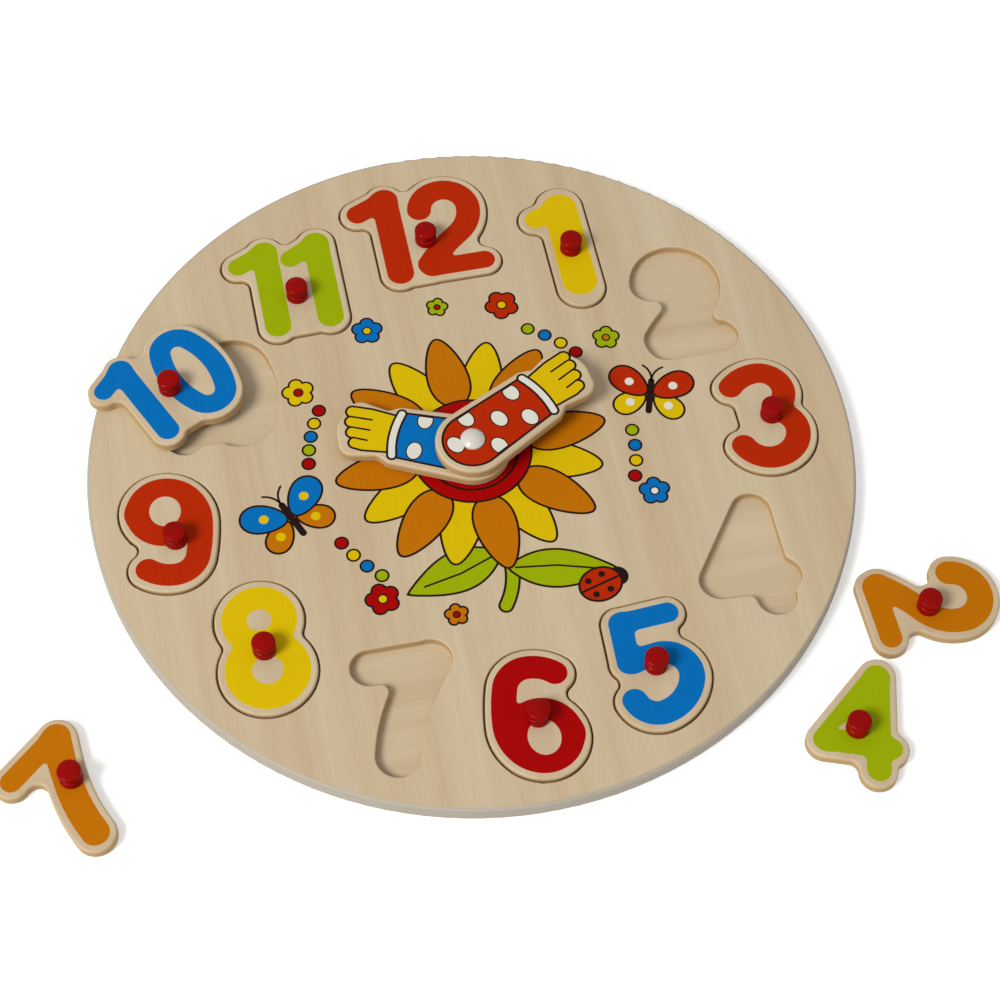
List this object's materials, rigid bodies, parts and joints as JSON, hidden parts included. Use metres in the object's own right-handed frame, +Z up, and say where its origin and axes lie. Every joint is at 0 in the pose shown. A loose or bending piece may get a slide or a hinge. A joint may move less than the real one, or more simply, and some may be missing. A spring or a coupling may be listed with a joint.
{
  "type": "teaching clock puzzle",
  "caption": "Round plywood teaching clock: numbers with knobs lift out of shaped pockets, and a minute hand and an hour hand turn freely on a capped centre pin.",
  "frame": {"origin": "centre of the board's underside, on the axis of the centre pin", "axes": "+Z up out of the clock face, +Y from the centre towards the 12, +X towards the 3"},
  "size_m": [0.3818, 0.3167, 0.0219],
  "materials": {
    "face_plywood": "pale plywood face under a satin varnish, with printed artwork",
    "back_plywood": "pale plywood, satin varnish",
    "hour_hand_wood": "blue print with a yellow end on varnished plywood",
    "minute_hand_wood": "red print with a yellow end on varnished plywood",
    "knob_paint": "turned wood in glossy deep red paint",
    "pin_plastic": "glossy white",
    "spacer_plastic": "natural, matt",
    "number_yellow": "yellow print inside a bare wood margin, satin varnish",
    "number_orange": "orange print inside a bare wood margin, satin varnish",
    "number_red_orange": "red-orange print inside a bare wood margin, satin varnish",
    "number_lime": "lime print inside a bare wood margin, satin varnish",
    "number_blue": "blue print inside a bare wood margin, satin varnish",
    "number_red": "red print inside a bare wood margin, satin varnish"
  },
  "bodies": {
    "board": {"face_panel": "face_plywood", "back_panel": "back_plywood", "centre_pin": "pin_plastic", "lower_spacer": "spacer_plastic", "upper_spacer": "spacer_plastic", "hub_cap": "pin_plastic"},
    "hour_hand": {"hour_hand": "hour_hand_wood"},
    "minute_hand": {"minute_hand": "minute_hand_wood"},
    "piece_1": {"number_1": "number_yellow", "knob_1": "knob_paint"},
    "piece_2": {"number_2": "number_orange", "knob_2": "knob_paint"},
    "piece_3": {"number_3": "number_red_orange", "knob_3": "knob_paint"},
    "piece_4": {"number_4": "number_lime", "knob_4": "knob_paint"},
    "piece_5": {"number_5": "number_blue", "knob_5": "knob_paint"},
    "piece_6": {"number_6": "number_red", "knob_6": "knob_paint"},
    "piece_7": {"number_7": "number_orange", "knob_7": "knob_paint"},
    "piece_8": {"number_8": "number_yellow", "knob_8": "knob_paint"},
    "piece_9": {"number_9": "number_red_orange", "knob_9": "knob_paint"},
    "piece_10": {"number_10": "number_blue", "knob_10": "knob_paint"},
    "piece_11": {"number_11": "number_lime", "knob_11": "knob_paint"},
    "piece_12": {"number_12": "number_red_orange", "knob_12": "knob_paint"}
  },
  "joints": [
    {"name": "hour_hand_turn", "type": "hinge", "parent": "board", "child": "hour_hand", "pos_m": [0, 0, 0.011], "axis": [0, 0, 1], "continuous": true},
    {"name": "minute_hand_turn", "type": "hinge", "parent": "board", "child": "minute_hand", "pos_m": [0, 0, 0.0165], "axis": [0, 0, 1], "continuous": true},
    {"name": "piece_1_lift", "type": "slide", "parent": "board", "child": "piece_1", "axis": [0, 0, 1], "range_m": [0, 0.03]},
    {"name": "piece_2_lift", "type": "slide", "parent": "board", "child": "piece_2", "axis": [0, 0, 1], "range_m": [0, 0.03]},
    {"name": "piece_3_lift", "type": "slide", "parent": "board", "child": "piece_3", "axis": [0, 0, 1], "range_m": [0, 0.03]},
    {"name": "piece_4_lift", "type": "slide", "parent": "board", "child": "piece_4", "axis": [0, 0, 1], "range_m": [0, 0.03]},
    {"name": "piece_5_lift", "type": "slide", "parent": "board", "child": "piece_5", "axis": [0, 0, 1], "range_m": [0, 0.03]},
    {"name": "piece_6_lift", "type": "slide", "parent": "board", "child": "piece_6", "axis": [0, 0, 1], "range_m": [0, 0.03]},
    {"name": "piece_7_lift", "type": "slide", "parent": "board", "child": "piece_7", "axis": [0, 0, 1], "range_m": [0, 0.03]},
    {"name": "piece_8_lift", "type": "slide", "parent": "board", "child": "piece_8", "axis": [0, 0, 1], "range_m": [0, 0.03]},
    {"name": "piece_9_lift", "type": "slide", "parent": "board", "child": "piece_9", "axis": [0, 0, 1], "range_m": [0, 0.03]},
    {"name": "piece_10_lift", "type": "slide", "parent": "board", "child": "piece_10", "axis": [0, 0, 1], "range_m": [0, 0.03]},
    {"name": "piece_11_lift", "type": "slide", "parent": "board", "child": "piece_11", "axis": [0, 0, 1], "range_m": [0, 0.03]},
    {"name": "piece_12_lift", "type": "slide", "parent": "board", "child": "piece_12", "axis": [0, 0, 1], "range_m": [0, 0.03]}
  ]
}
